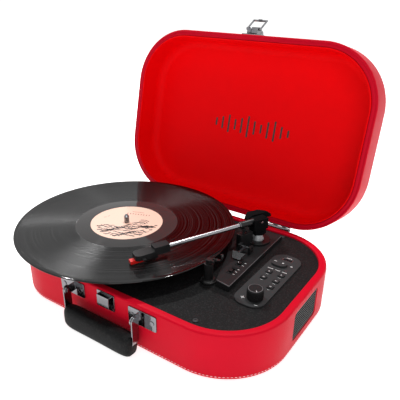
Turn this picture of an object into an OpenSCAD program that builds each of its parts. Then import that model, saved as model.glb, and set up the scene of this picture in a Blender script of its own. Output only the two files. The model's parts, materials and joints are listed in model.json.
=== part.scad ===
// Suitcase record player with its lid open and a record on the platter.
// Millimetres. X runs along the front to the right, Y to the hinges, Z up.
// The origin is on the surface that the feet stand on, under the middle of the case.

/* [Case] */
// Outside width of the case
case_w = 388; // [380:1:400]
// Outside depth of the case, front to back
case_d = 258; // [254:1:266]
// Radius of the four upright corners
case_r = 83.5; // [70:0.5:86]
// Height of the base box without its feet
base_h = 59.5; // [58:0.5:62]
// Height of the lid box
lid_h = 48.3; // [47:0.1:52]
// Thickness of the padded walls
wall = 10; // [9:0.5:11]
// Thickness of the lid's top panel and its lining
lid_top = 4; // [3:0.5:5]
// Angle that the lid stands open at
lid_open = 102.5; // [98:0.5:106]
// Height of the rubber feet
foot_h = 3; // [2:0.5:5]
// Depth of the deck below the rim
deck_drop = 3; // [2:0.5:4]

/* [Record and platter] */
// Spindle position from the middle of the case, to the right
spindle_x = -72; // [-74:0.5:-70]
// Spindle position from the middle of the case, to the back
spindle_y = -9.3; // [-11:0.1:-8]
// Diameter of the record
record_d = 301.6; // [300:0.1:302]
// Thickness of the record
record_t = 2; // [1.5:0.1:2.5]
// Height of the record's top above the rim
record_rise = 18.6; // [18:0.1:20]
// Diameter of the platter
platter_d = 196; // [180:1:200]
// Diameter of the spindle
spindle_d = 7; // [6.9:0.05:7.1]

/* [Tonearm] */
// Pivot position from the middle of the case, to the right
pivot_x = 90.8; // [90:0.1:92]
// Pivot position from the middle of the case, to the back
pivot_y = 72.2; // [71:0.1:73]
// Distance from the pivot to the stylus
arm_len = 184; // [183:0.5:185]
// Angle of the arm from straight ahead, with the stylus on the record
arm_yaw = 27.6; // [27.2:0.1:28.2]
// Downward slope of the arm towards its head
arm_slope = 2; // [1.8:0.1:2.2]
// Height of the arm's axis above the rim, at the pivot
arm_rise = 35.7; // [35.5:0.1:36]
// Diameter of the arm tube
tube_d = 6; // [5:0.5:7]

/* [Controls] */
// Width of the control panel
panel_w = 38; // [36:1:40]
// Length of the control panel
panel_l = 126; // [124:1:130]
// Middle of the control panel, to the right
panel_x = 143; // [142:0.5:144]
// Middle of the control panel, to the back
panel_y = 5; // [3:0.5:7]
// Diameter of the volume knob
knob_d = 19; // [17:0.5:20]

/* [Handle and latch] */
// Distance between the handle's two pivots
handle_w = 107; // [104:1:112]
// Height of the handle's pivots above the floor
handle_z = 50.5; // [48:0.5:52]
// Distance of the handle's pivots in front of the case
handle_out = 12; // [11.5:0.5:16]
// Width of the latch's base plate
latch_w = 33; // [30:1:36]

/* [Hidden] */
$fn = 96;

// Heights
rim_z = foot_h + base_h;
deck_z = rim_z - deck_drop;
deck_t = 3;
bottom_t = 4;
inside_z = foot_h + bottom_t;
record_z = rim_z + record_rise - record_t;
mat_t = 2;
platter_z = record_z - mat_t;
arm_z = rim_z + arm_rise;

// Clear gaps between moving pieces and between plates and their recesses
gap = 0.3;
slack = 0.2;

// Case
inner_w = case_w - 2 * wall;
inner_d = case_d - 2 * wall;
inner_r = case_r - wall;
ledge_w = 12;
ledge_h = 8;
lining_t = 2;
lining_top = 1;
screw_xy = [[113.5, -111], [110, 114]];

// Speakers
grille_l = 67;
grille_h = 39.4;
grille_z = foot_h + 31.2;
grille_y = 1;
grille_r = 6;
grille_t = 3;
rib_pitch = 3.9;
speaker_r = 21.5;

// Hinges
hinge_y = case_d / 2 + 3.5;
hinge_z = rim_z - 0.8;
hinge_x = 94;
hinge_l = 34;
knuckle_r = 2.6;
hinge_pin_r = 1.1;

// Drive
shaft_r = spindle_d / 2 - 0.5;
shaft_fit = 0.04;
tip_start = record_z + record_t + 0.2;
tip_l = 8.3;
drum_r = 54;
drum_h = 10;
pulley_r = 6;
belt_t = 1;
belt_gap = 0.3;
belt_tuck = 0.06;
motor_angle = 150;
motor_reach = 75;
motor_x = spindle_x + motor_reach * cos(motor_angle);
motor_y = spindle_y + motor_reach * sin(motor_angle);
motor_z = 30;

// Control panel
panel_t = 2;
panel_r = 15;
panel_z = deck_z + panel_t;
board_z = 46;
board_t = 1.6;
button_w = 7.5;
button_d = 6.4;
button_left_x = panel_x - 7.3;
button_right_x = panel_x + 9.2;
button_rows = [13.5, -1.5, -16];
button_rise = 1.2;
mode_x = panel_x - 4.3;
mode_y = panel_y + 36;
mode_w = 20;
mode_d = 13;
mode_rise = 2.6;
knob_x = panel_x + 4;
knob_y = panel_y - 45;
knob_h = 13.2;
slot_w = 13.4;
slot_d = 5.8;
slot_y = panel_y + 52.5;
light_y = panel_y + 26;

// Arm board and its controls
arm_board_z = deck_z + 7.5;
board_wall = 2;
speed_x = 100.8;
speed_y = -13;
stop_x = 100.8;
stop_y = 7;
cue_x = 92;
cue_y = 36;
cue_z = arm_board_z + 7;
lift_r = 26;
lift_angle = 21;
lift_top = arm_z - 5.5;
lift_first = 4;
lift_last = 46;

// Arm rest
rest_x = 84;
rest_y = -40;
rest_post_h = 25.5;
clip_r = 5.6;
clip_t = 1.3;
clip_rise = 3.2;
clip_open = 80;
clip_hinge_x = 8;
clip_hinge_z = -3;

// Tonearm, measured along the arm from its pivot
sleeve_r = 4.3;
tube_start = 28;
tube_end = 136;
shell_end = 179;
cheek_in = 5.6;
cheek_t = 2.4;
cheek_top = arm_z - 0.5;
cap_offset = 6;
cap_back = 5;
cap_w = 38;
cap_z = arm_z - 2;
cap_h = 7.8;

// Handle and latch
strap_t = 1.6;
strap_w = 11;
grip_low = foot_h + 0.6;
grip_h = 28;
grip_t = 20;
handle_y = -case_d / 2 - handle_out;
ear_x = handle_w / 2 - 2.4;
bracket_x = handle_w / 2 + 1.5;
bracket_w = 40;
bracket_h = 20;
bracket_z = 47.6;
latch_low = rim_z + 2;
latch_h = 26;
latch_ear_x = 8;
loop_z = rim_z + 7;
loop_out = 8.6;
lever_z = rim_z + 15;
lever_out = 4;
lever_l = 6;
lever_w = 14;
loop_w = 23;
loop_l = 22;
loop_strip = 2.2;
loop_t = 1.6;
loop_pin = 1.1;
loop_lean = 40;

// A plate with four true round corners, standing on the XY plane
module rounded_plate(w, d, r, h) {
    linear_extrude(h) {
        square([w - 2 * r, d], center = true);
        square([w, d - 2 * r], center = true);
        for (sx = [-1, 1], sy = [-1, 1])
            translate([sx * (w / 2 - r), sy * (d / 2 - r)]) circle(r);
    }
}

// A wall that follows a rounded outline
module rounded_ring(w, d, r, t, h) {
    difference() {
        rounded_plate(w, d, r, h);
        translate([0, 0, -1]) rounded_plate(w - 2 * t, d - 2 * t, r - t, h + 2);
    }
}

// A box centred in X and Y, standing on the XY plane
module block(w, d, h) {
    translate([-w / 2, -d / 2, 0]) cube([w, d, h]);
}

// A round part along X, centred
module round_x(r, l) {
    rotate([0, 90, 0]) cylinder(r = r, h = l, center = true);
}

module at_spindle(z) {
    translate([spindle_x, spindle_y, z]) children();
}

// The four places where a screw holds the deck to its ledge
module at_deck_screws(z) {
    for (place = screw_xy, side = [-1, 1]) translate([side * place[0], place[1], z]) children();
}

module both_sides() {
    for (side = [-1, 1]) translate([side * hinge_x, 0, 0]) children();
}

// Turns a closed lid piece to where it stands open
module lid_open_place() {
    translate([0, hinge_y, hinge_z]) rotate([-lid_open, 0, 0]) translate([0, -hinge_y, -hinge_z]) children();
}

// Turret frame: local -Y points along the arm to its head
module turret_place() {
    translate([pivot_x, pivot_y, 0]) rotate([0, 0, -arm_yaw]) children();
}

// Arm frame: the arm's axis is local Y at local Z 0
module arm_place() {
    translate([pivot_x, pivot_y, arm_z]) rotate([0, 0, -arm_yaw]) rotate([arm_slope, 0, 0]) children();
}

// Case --------------------------------------------------------------

module speaker_opening(side) {
    translate([side * (case_w / 2 - wall / 2), grille_y, grille_z])
        rotate([0, 90, 0]) translate([0, 0, -wall]) rounded_plate(grille_h, grille_l, grille_r, 2 * wall);
}

module base_shell() {
    color("crimson") difference() {
        union() {
            translate([0, 0, foot_h]) rounded_ring(case_w, case_d, case_r, wall, base_h);
            translate([0, 0, deck_z - deck_t - ledge_h])
                rounded_ring(inner_w + 1, inner_d + 1, inner_r + 0.5, ledge_w, ledge_h);
        }
        for (side = [-1, 1]) {
            speaker_opening(side);
            translate([side * (inner_w - ledge_w) / 2, grille_y, deck_z - deck_t - ledge_h - 1])
                block(ledge_w + 2 * slack, 2 * speaker_r + 2, ledge_h + 2);
        }
        translate([0, case_d / 2 - wall / 2, foot_h + 27]) cube([86, 2 * wall, 28], center = true);
        at_deck_screws(deck_z - 12) cylinder(r = 1.6, h = 14);
    }
}

module base_bottom() {
    color("dimgray") difference() {
        translate([0, 0, foot_h])
            rounded_plate(inner_w - 2 * slack, inner_d - 2 * slack, inner_r - slack, bottom_t);
        for (i = [-3:3]) translate([i * 9, 70, foot_h - 1]) rotate([0, 0, 90]) stadium(30, 3, bottom_t + 2);
    }
}

module feet() {
    color("black") for (place = [[0, 0], [128, 84], [-128, 84], [-128, -84], [128, -84]])
        translate([place[0], place[1], 0]) {
            cylinder(r1 = 8, r2 = 9, h = 1);
            translate([0, 0, 1]) cylinder(r = 9, h = foot_h - 1);
        }
}

module deck() {
    color("black") difference() {
        translate([0, 0, deck_z - deck_t])
            rounded_plate(inner_w - 2 * slack, inner_d - 2 * slack, inner_r - slack, deck_t);
        at_spindle(deck_z - 5) cylinder(r = 9, h = 8);
        translate([motor_x, motor_y, deck_z - 5]) cylinder(r = 8, h = 8);
        translate([panel_x, panel_y, deck_z - 5]) rounded_plate(panel_w - 6, panel_l - 6, panel_r - 3, 8);
        translate([pivot_x, pivot_y, deck_z - 5]) cylinder(r = 10, h = 8);
        translate([speed_x, speed_y + 10, deck_z - 5]) block(14, 34, 8);
        at_deck_screws(deck_z - 5) cylinder(r = 1.7, h = 8);
    }
}

module deck_screws() {
    color("black") at_deck_screws(deck_z) difference() {
            union() {
                cylinder(r = 3.2, h = 1);
                translate([0, 0, 1]) cylinder(r1 = 3.2, r2 = 2.2, h = 0.8);
                translate([0, 0, -10]) cylinder(r = 1.5, h = 10.5);
            }
            translate([0, 0, 1]) block(0.7, 3.4, 2);
            translate([0, 0, 1]) block(3.4, 0.7, 2);
        }
}

// A frame with half-round ribs, standing in its opening in the end wall
module speaker_grille(side) {
    face_x = case_w / 2 - 2.6;
    color("black") translate([side * face_x, grille_y, grille_z]) {
        rotate([0, 90, 0]) translate([0, 0, -grille_t / 2])
            rounded_ring(grille_h - 2 * slack, grille_l - 2 * slack, grille_r - slack, 2, grille_t);
        rotate([0, side * 90, 0]) translate([0, 0, -grille_t / 2])
            rounded_plate(grille_h - 3, grille_l - 3, grille_r - 1.5, 1);
        for (i = [-4:4]) translate([0, 0, i * rib_pitch]) rotate([90, 0, 0])
            cylinder(r = 1.3, h = grille_l - 6, center = true, $fn = 24);
    }
}

module speaker_grille_right() {
    speaker_grille(1);
}

module speaker_grille_left() {
    speaker_grille(-1);
}

// Round frame, cone and magnet of a small full-range speaker
module speaker(side) {
    inner_face = case_w / 2 - wall - 1;
    color("gray") translate([side * inner_face, grille_y, grille_z]) rotate([0, -side * 90, 0]) {
        rotate_extrude() polygon([[0, 1.6], [8, 5], [18.6, 0], [speaker_r, 0], [speaker_r, 1.4], [19.5, 1.4],
            [13, 12], [13, 14], [0, 14]]);
        translate([0, 0, 14]) cylinder(r = 12, h = 7);
        translate([0, 0, 21]) cylinder(r = 8, h = 2);
    }
}

module speaker_right() {
    speaker(1);
}

module speaker_left() {
    speaker(-1);
}

// Back --------------------------------------------------------------

rear_y = case_d / 2;
jack_z = foot_h + 27;
jack_x = [-31, -17];
socket_x = [0, 12];
inlet_x = 30;

module rear_panel() {
    color("black") difference() {
        translate([0, rear_y + 1.5, jack_z]) rotate([90, 0, 0]) rounded_plate(98, 38, 4, 1.5);
        for (x = jack_x) translate([x, rear_y, jack_z]) rotate([90, 0, 0])
            cylinder(r = 4.6, h = 8, center = true);
        for (x = socket_x) translate([x, rear_y, jack_z]) rotate([90, 0, 0])
            cylinder(r = 3.2, h = 8, center = true);
        translate([inlet_x, rear_y, jack_z]) rotate([90, 0, 0]) cylinder(r = 5.2, h = 8, center = true);
        for (sx = [-1, 1], sz = [-1, 1]) translate([sx * 44, rear_y, jack_z + sz * 15])
            rotate([90, 0, 0]) cylinder(r = 1.6, h = 8, center = true);
    }
}

// Two phono sockets: a round shell with a hollow core, on a block behind the panel
module line_out_jacks() {
    color("silver") for (x = jack_x) translate([x, rear_y, jack_z]) rotate([-90, 0, 0]) {
        difference() {
            union() {
                translate([0, 0, -6]) cylinder(r = 4.4, h = 7.7);
                translate([0, 0, 1.7]) cylinder(r = 4.15, h = 7.3);
                translate([0, 0, -12]) block(11, 13, 8);
            }
            translate([0, 0, -3]) cylinder(r = 1.65, h = 14);
            translate([0, 0, 1]) difference() {
                cylinder(r = 3.6, h = 10);
                translate([0, 0, -1]) cylinder(r = 2.5, h = 12);
            }
        }
    }
}

// Barrel socket for a 5.5 mm plug
module power_inlet() {
    color("dimgray") translate([inlet_x, rear_y, jack_z]) rotate([-90, 0, 0]) difference() {
        union() {
            translate([0, 0, -10]) cylinder(r = 5, h = 12.5);
            translate([0, 0, -15]) block(12, 11, 7);
        }
        translate([0, 0, -7]) cylinder(r = 2.85, h = 12);
    }
}

// Two 3.5 mm sockets, one in and one out
module audio_sockets() {
    color("dimgray") for (x = socket_x) translate([x, rear_y, jack_z]) rotate([-90, 0, 0]) difference() {
        union() {
            translate([0, 0, -8]) cylinder(r = 3, h = 10);
            translate([0, 0, -14]) block(9, 11, 8);
        }
        translate([0, 0, -13]) cylinder(r = 1.8, h = 17);
    }
}

module main_board() {
    color("green") translate([40, 60, inside_z]) {
        translate([0, 0, 6]) block(90, 56, 1.6);
        for (sx = [-1, 1], sy = [-1, 1]) translate([sx * 40, sy * 23, 0]) cylinder(r = 3, h = 6);
        for (i = [0:3]) translate([-30 + i * 12, 12, 7.6]) cylinder(r = 4, h = 11);
        translate([22, 12, 7.6]) block(14, 14, 2);
        translate([22, -10, 7.6]) block(26, 3, 16);
        translate([-20, -12, 7.6]) block(18, 12, 3);
    }
}

// Drive -------------------------------------------------------------

module motor() {
    color("silver") translate([motor_x, motor_y, 0]) {
        translate([0, 0, motor_z]) cylinder(r = 17.5, h = 24);
        translate([0, 0, motor_z + 24]) cylinder(r = 3, h = 2);
        translate([0, 0, motor_z + 26]) cylinder(r = 1, h = 16);
        for (side = [-1, 1]) translate([side * 20, 0, motor_z + 22]) difference() {
            block(9, 9, 2);
            translate([0, 0, -1]) cylinder(r = 1.6, h = 4);
        }
        for (side = [-1, 1]) translate([side * 21, 0, motor_z + 24.2]) cylinder(r = 3, h = 2.2);
    }
}

// Crowned pulley with two flanges, bored to run with the motor's shaft
module motor_pulley() {
    color("gold") translate([motor_x, motor_y, 0]) difference() {
        union() {
            translate([0, 0, 62]) cylinder(r = 4, h = 2);
            translate([0, 0, 64]) cylinder(r = pulley_r + 1.4, h = 0.8);
            translate([0, 0, 64.8]) cylinder(r = pulley_r, h = 5.4);
            translate([0, 0, 70.2]) cylinder(r = pulley_r + 1.4, h = 0.8);
        }
        translate([0, 0, 60]) cylinder(r = 1.05, h = 14);
    }
}

// Outline around the drum and the pulley: two discs and the band between their tangents
module belt_outline(grow) {
    r1 = drum_r + belt_gap + grow;
    r2 = pulley_r + belt_gap + grow;
    lean = acos((r1 - r2) / motor_reach);
    t1 = r1 - belt_tuck;
    t2 = r2 - belt_tuck;
    circle(r1);
    translate([motor_reach, 0]) circle(r2);
    polygon([[t1 * cos(lean), t1 * sin(lean)],
        [motor_reach + t2 * cos(lean), t2 * sin(lean)],
        [motor_reach + t2 * cos(lean), -t2 * sin(lean)],
        [t1 * cos(lean), -t1 * sin(lean)]]);
}

module drive_belt() {
    color("black") at_spindle(65.3) rotate([0, 0, motor_angle]) difference() {
        linear_extrude(4) belt_outline(belt_t);
        translate([0, 0, -1]) linear_extrude(6) belt_outline(0);
    }
}

// Flanged bush that the spindle turns in, closed at the bottom
module platter_bearing() {
    color("silver") at_spindle(0) difference() {
        union() {
            translate([0, 0, 34]) cylinder(r = 8.5, h = 26);
            translate([0, 0, deck_z]) cylinder(r = 14, h = 1.8);
        }
        translate([0, 0, 37]) cylinder(r = shaft_r + shaft_fit, h = 30);
        for (a = [0:120:240]) rotate([0, 0, a]) translate([11.4, 0, deck_z - 1]) cylinder(r = 1.2, h = 4);
    }
}

// A cupped disc with a skirt, a drum for the belt and a hub
module platter() {
    color("dimgray") at_spindle(0) difference() {
        rotate_extrude($fn = 128) polygon([[shaft_r, deck_z + 3], [12, deck_z + 3], [12, platter_z - 3.4],
            [drum_r - 4, platter_z - 3.4], [drum_r - 4, platter_z - 3.4 - drum_h],
            [drum_r, platter_z - 3.4 - drum_h], [drum_r, platter_z - 3.4],
            [platter_d / 2 - 4, platter_z - 3.4], [platter_d / 2 - 4, deck_z + 5],
            [platter_d / 2 - 1.2, deck_z + 5], [platter_d / 2, deck_z + 6.2],
            [platter_d / 2, platter_z - 1.2], [platter_d / 2 - 1.2, platter_z], [shaft_r, platter_z]]);
        for (a = [0:60:300]) rotate([0, 0, a + 20]) translate([32, 0, platter_z - 5]) cylinder(r = 9, h = 8);
    }
}

module slip_mat() {
    color("gray") at_spindle(platter_z) difference() {
        cylinder(r = platter_d / 2 - 2, h = mat_t, $fn = 128);
        translate([0, 0, -1]) cylinder(r = spindle_d / 2 + 0.05, h = mat_t + 2);
    }
}

// Shaft fixed in the platter, slightly thinner below the record, with a rounded nose above it
module spindle() {
    color("silver") at_spindle(0) {
        translate([0, 0, 37.5]) cylinder(r = shaft_r, h = tip_start - 37.5);
        translate([0, 0, tip_start]) cylinder(r = spindle_d / 2, h = tip_l);
        translate([0, 0, tip_start + tip_l]) cylinder(r1 = spindle_d / 2, r2 = 2.3, h = 2.4);
        translate([0, 0, tip_start + tip_l + 2.4]) cylinder(r1 = 2.3, r2 = 1, h = 1.1);
    }
}

label_r = 50;
label_t = 0.25;

// Twelve-inch record: a raised outer bead, a flat playing area and a shallow seat for the label
module record() {
    edge = record_d / 2;
    color([0.05, 0.05, 0.05]) at_spindle(record_z) difference() {
        rotate_extrude($fn = 256) polygon([[spindle_d / 2 + 0.05, 0], [edge - 0.9, 0], [edge, 0.7],
            [edge, record_t - 0.7], [edge - 0.9, record_t], [label_r + 0.1, record_t],
            [label_r + 0.1, record_t - label_t], [spindle_d / 2 + 0.05, record_t - label_t]]);
    }
}

module record_label() {
    color("mistyrose") at_spindle(record_z + record_t - label_t) difference() {
        cylinder(r = label_r, h = label_t, $fn = 128);
        translate([0, 0, -1]) cylinder(r = spindle_d / 2 + 0.05, h = 3);
    }
}

// Controls ----------------------------------------------------------

module button_hole(x, y) {
    translate([x, y, panel_z - 4]) block(button_w + 0.5, button_d + 0.5, 8);
}

module stadium(w, d, h) {
    linear_extrude(h) {
        square([w - d, d], center = true);
        for (side = [-1, 1]) translate([side * (w - d) / 2, 0]) circle(d / 2);
    }
}

// Rounded top plate with a box below it that drops through the deck
module control_panel() {
    color([0.18, 0.18, 0.19]) difference() {
        union() {
            translate([panel_x, panel_y, deck_z]) rounded_plate(panel_w, panel_l, panel_r, panel_t);
            translate([panel_x, panel_y, deck_z - 7])
                rounded_ring(panel_w - 6.6, panel_l - 6.6, panel_r - 3.3, 1.6, 7.5);
        }
        for (row = button_rows) button_hole(button_right_x, panel_y + row);
        for (row = [button_rows[0], button_rows[1]]) button_hole(button_left_x, panel_y + row);
        translate([mode_x, mode_y, panel_z - 4]) stadium(mode_w + 0.5, mode_d + 0.5, 8);
        translate([panel_x, slot_y, panel_z - 4]) block(slot_w + 0.2, slot_d + 0.2, 8);
        translate([knob_x, knob_y, panel_z - 4]) cylinder(r = 3.6, h = 8);
        for (i = [-1:1]) translate([panel_x + i * 9.5, light_y, panel_z - 4]) cylinder(r = 1.4, h = 8);
    }
}

module switch_block(x, y, top) {
    translate([x, y, board_z + board_t]) block(6, 6, top - board_z - board_t);
}

// Circuit board under the panel with a switch under every button
module control_board() {
    color("darkgreen") {
        difference() {
            translate([panel_x, panel_y, board_z]) block(panel_w - 9, panel_l - 9, board_t);
            for (side = [-1, 1]) translate([panel_x, panel_y + side * 55, board_z - 1])
                cylinder(r = 1.6, h = 4);
        }
        for (row = button_rows) switch_block(button_right_x, panel_y + row, 54);
        for (row = [button_rows[0], button_rows[1]]) switch_block(button_left_x, panel_y + row, 54);
        switch_block(mode_x, mode_y, 54);
    }
}

// Metal sleeve open at the top, with a contact tongue
module usb_socket() {
    color("silver") translate([panel_x, slot_y, board_z + board_t]) {
        difference() {
            block(slot_w, slot_d, panel_z - 0.2 - board_z - board_t);
            translate([0, 0, 1.5]) block(slot_w - 0.9, slot_d - 0.9, 20);
        }
    }
}

module status_lights() {
    color("white") for (i = [-1:1]) translate([panel_x + i * 9.5, light_y, 0]) {
        translate([0, 0, board_z + board_t]) cylinder(r = 1.2, h = panel_z + 0.3 - board_z - board_t);
    }
}

// Rotary control with a threaded collar; the knob's shaft turns inside it
module volume_control() {
    color("gray") translate([knob_x, knob_y, board_z + board_t]) difference() {
        union() {
            block(15, 15, 6.5);
            cylinder(r = 3.5, h = 12.5);
        }
        translate([0, 0, 1]) cylinder(r = 2.06, h = 20);
    }
}

module volume_knob() {
    color([0.12, 0.12, 0.12]) translate([knob_x, knob_y, 0]) {
        difference() {
            union() {
                translate([0, 0, panel_z + 0.5]) cylinder(r = knob_d / 2, h = knob_h - 1.7);
                translate([0, 0, panel_z + knob_h - 1.2])
                    cylinder(r1 = knob_d / 2, r2 = knob_d / 2 - 1.2, h = 1.2);
            }
            translate([0, -knob_d / 2 + 1.6, panel_z + knob_h - 0.6]) block(0.9, 3.4, 2);
        }
        translate([0, 0, board_z + board_t + 1.4])
            cylinder(r = 2, h = panel_z + 1 - board_z - board_t - 1.4);
    }
}

// A push button: cap above the panel, skirt through it and a plunger down to its switch
module push_button(x, row) {
    color([0.1, 0.1, 0.1]) translate([x, panel_y + row, 0]) {
        translate([0, 0, deck_z - 1])
            rounded_plate(button_w, button_d, 1.4, panel_z + button_rise - deck_z + 1);
        translate([0, 0, 55]) cylinder(r = 1.6, h = deck_z - 55);
    }
}

module play_button() {
    push_button(button_right_x, button_rows[0]);
}

module next_button() {
    push_button(button_right_x, button_rows[1]);
}

module previous_button() {
    push_button(button_right_x, button_rows[2]);
}

module record_button() {
    push_button(button_left_x, button_rows[0]);
}

module repeat_button() {
    push_button(button_left_x, button_rows[1]);
}

module mode_button() {
    color([0.16, 0.16, 0.17]) translate([mode_x, mode_y, 0]) {
        translate([0, 0, deck_z - 1]) stadium(mode_w, mode_d, panel_z + mode_rise - deck_z + 1);
        translate([0, 0, 55]) cylinder(r = 2, h = deck_z - 55);
    }
}

// Arm board ---------------------------------------------------------

module board_outline(inset) {
    polygon([[95.5 + inset, -41 + inset], [115.6 - inset, -44.4 + inset * 1.2], [112.4 - inset, 104 - inset],
        [66 + inset, 104 - inset], [66 + inset, 36], [78 + inset, 12]]);
}

// Moulded cover, hollow underneath, with openings for the switches and the arm's base
module arm_board() {
    color([0.1, 0.1, 0.1]) difference() {
        translate([0, 0, deck_z]) linear_extrude(arm_board_z - deck_z) board_outline(0);
        translate([0, 0, deck_z - 1])
            linear_extrude(arm_board_z - deck_z - board_wall + 1) board_outline(board_wall);
        translate([speed_x, speed_y, arm_board_z - 4]) block(4.4, 11, 8);
        translate([stop_x, stop_y, arm_board_z - 4]) block(4.4, 9, 8);
        translate([pivot_x, pivot_y, arm_board_z - 4]) cylinder(r = 9, h = 8);
    }
}

// Slide switch: a knob above the board and a carrier below it
module slide_switch(x, y) {
    color("black") translate([x, y, 0]) {
        translate([0, 0, arm_board_z - 3]) block(3.8, 4.4, 5.2);
        translate([0, 0, arm_board_z - 4.6]) block(8, 8, 1.9);
    }
}

module speed_switch() {
    slide_switch(speed_x, speed_y - 2.6);
}

module auto_stop_switch() {
    slide_switch(stop_x, stop_y - 1.6);
}

// Fixed base of the arm: a round platform, a bearing cone and the lift's housing
module arm_base() {
    color([0.12, 0.12, 0.12]) difference() {
        union() {
            translate([pivot_x, pivot_y, arm_board_z]) cylinder(r = 17, h = 3);
            translate([pivot_x, pivot_y, deck_z - 8]) cylinder(r = 8.6, h = arm_board_z - deck_z + 9);
            translate([pivot_x, pivot_y, arm_board_z + 3]) cylinder(r1 = 7.2, r2 = 4.4, h = 9);
            translate([pivot_x, pivot_y, 0]) rotate([0, 0, -lift_angle])
                translate([-0.5, -23, arm_board_z]) block(9, 21, 18.6);
            translate([cue_x + 7.5, cue_y, arm_board_z]) block(3, 9, 10);
            translate([cue_x - 7.5, cue_y, arm_board_z]) block(3, 9, 10);
        }
        translate([pivot_x, pivot_y, deck_z - 6]) cylinder(r = 2.05, h = 40);
        translate([pivot_x, pivot_y, 0]) rotate([0, 0, -lift_angle])
            translate([0, -lift_r, arm_board_z + 4]) cylinder(r = 2.05, h = 20);
        translate([cue_x, cue_y, cue_z]) round_x(1.55, 30);
    }
}

// Curved bar under the arm on a plunger that slides in the lift's housing
module lift_bar() {
    color("black") translate([pivot_x, pivot_y, 0]) {
        rotate([0, 0, -lift_angle]) translate([0, -lift_r, arm_board_z + 6])
            cylinder(r = 2, h = lift_top - 1.5 - arm_board_z - 6);
        translate([0, 0, lift_top - 2.2]) rotate([0, 0, 270 - lift_last])
            rotate_extrude(angle = lift_last - lift_first)
            translate([lift_r - 1.6, 0]) square([3.2, 2.2]);
    }
}

// Cross shaft with a bent thumb paddle
module cue_lever() {
    color([0.2, 0.22, 0.22]) translate([cue_x, cue_y, cue_z]) {
        round_x(1.5, 17.6);
        translate([0, -9, -1.3]) block(3, 18, 2.6);
        translate([0, -17.4, -1]) rotate([38, 0, 0]) translate([0, -9, 0]) linear_extrude(1.6)
            polygon([[-5.2, 0], [5.2, 0], [9, 10], [-9, 10]]);
    }
}

// Arm rest ----------------------------------------------------------

// Distance from the pivot to the rest and the arm's height there
rest_reach = norm([pivot_x - rest_x, pivot_y - rest_y]);
rest_turn = atan2(pivot_x - rest_x, pivot_y - rest_y);
rest_arm_z = arm_z - rest_reach * sin(arm_slope);
rest_floor = rest_arm_z - tube_d / 2 - gap;

// Ring on the deck, a round post and a shelf with a side wall and two lugs for the clip's pin
module arm_rest() {
    color("black") {
        translate([rest_x, rest_y, deck_z]) cylinder(r = 10, h = 3);
        translate([rest_x, rest_y, deck_z + 3]) cylinder(r1 = 9, r2 = 7.6, h = 1.6);
        translate([rest_x, rest_y, deck_z + 3]) cylinder(r = 5.6, h = rest_post_h - 3);
        translate([rest_x, rest_y, 0]) rotate([0, 0, -rest_turn]) {
            translate([0, 0, deck_z + rest_post_h - 1]) block(4, 7, rest_floor - deck_z - rest_post_h + 1);
            translate([1.7, 0, rest_floor - 2]) block(8.4, 7, 2);
            translate([4.5, 0, rest_floor - 2]) block(1.8, 7, 3.4);
            translate([clip_hinge_x, 0, rest_arm_z + clip_hinge_z]) {
                for (side = [-1, 1]) translate([-1.1, side * 2.65, -1.7]) block(5.4, 1.7, 2.9);
                rotate([90, 0, 0]) cylinder(r = 0.8, h = 6, center = true);
            }
        }
    }
}

// Hooked clip that swings over the arm: a boss on the pin, a short neck and an arc
module arm_rest_clip() {
    color("black") translate([rest_x, rest_y, rest_arm_z]) rotate([0, 0, -rest_turn])
        translate([clip_hinge_x, 0, clip_hinge_z]) rotate([0, clip_open, 0])
        rotate([90, 0, 0]) linear_extrude(3, center = true) difference() {
            union() {
                circle(1.6);
                polygon([[-3.7, 3.5], [-1.9, 4], [1.5, 0.5], [-1, -1.1]]);
                translate([-clip_hinge_x, clip_rise - clip_hinge_z]) intersection() {
                    difference() {
                        circle(clip_r + clip_t);
                        circle(clip_r);
                    }
                    translate([-2.6, -clip_rise]) square([20, 20]);
                }
            }
            circle(0.85);
        }
}

// Tonearm -----------------------------------------------------------

// Turning base of the arm: a shaft in the cone, a floor and one cheek on each side
module turret_yoke() {
    low = arm_board_z + 12.3;
    floor_h = 4.4;
    cheek_z = arm_z - 9;
    color([0.08, 0.08, 0.08]) turret_place() difference() {
        union() {
            translate([0, 0, deck_z - 5]) cylinder(r = 2, h = low - deck_z + 6);
            translate([0, 0, low]) cylinder(r = 9.4, h = floor_h);
            translate([0, -1.2, low + 1]) block(15.6, 17, cheek_z - low - 1);
            translate([cheek_in + cheek_t / 2, -1.2, cheek_z - 2]) block(cheek_t, 22, 15);
            translate([-cheek_in - cheek_t / 2, -1.2, cheek_z - 2])
                block(cheek_t, 22, cheek_top - cheek_z + 2);
        }
        translate([0, 0, arm_z]) round_x(1.55, 30);
    }
}

// Eight-sided cover, open in the middle where the arm passes
module turret_cap() {
    color([0.1, 0.1, 0.1]) turret_place() difference() {
        union() {
            translate([-cap_offset, cap_back, cap_z]) rotate([0, 0, 22.5])
                cylinder(r = cap_w / 2 / cos(22.5), h = 3.4, $fn = 8);
            translate([-cap_offset, cap_back, cap_z + 3.4]) rotate([0, 0, 22.5])
                cylinder(r1 = cap_w / 2 / cos(22.5), r2 = 12.5, h = cap_h - 3.4, $fn = 8);
        }
        translate([14 - cheek_in, -2, cap_z - 1]) block(28, 60, 20);
        translate([-cheek_in - cheek_t / 2, -1.2, cap_z - 1])
            block(cheek_t + 0.02, 22.02, cheek_top - cap_z + 1);
        translate([0, 0, arm_z]) round_x(1.55, 2 * (cheek_in + cheek_t) + 0.1);
    }
}

// Silver tube with its sleeve, its pivot block and the trunnions at the sides
module arm_tube() {
    color("silver") arm_place() {
        translate([0, -tube_end, 0]) rotate([-90, 0, 0]) cylinder(r = tube_d / 2, h = tube_end - tube_start);
        translate([0, -31, 0]) rotate([-90, 0, 0]) cylinder(r = sleeve_r, h = 22);
        translate([0, -0.6, -5]) block(10, 19, 8.8);
        round_x(1.5, 2 * (cheek_in + cheek_t));
    }
}

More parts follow.
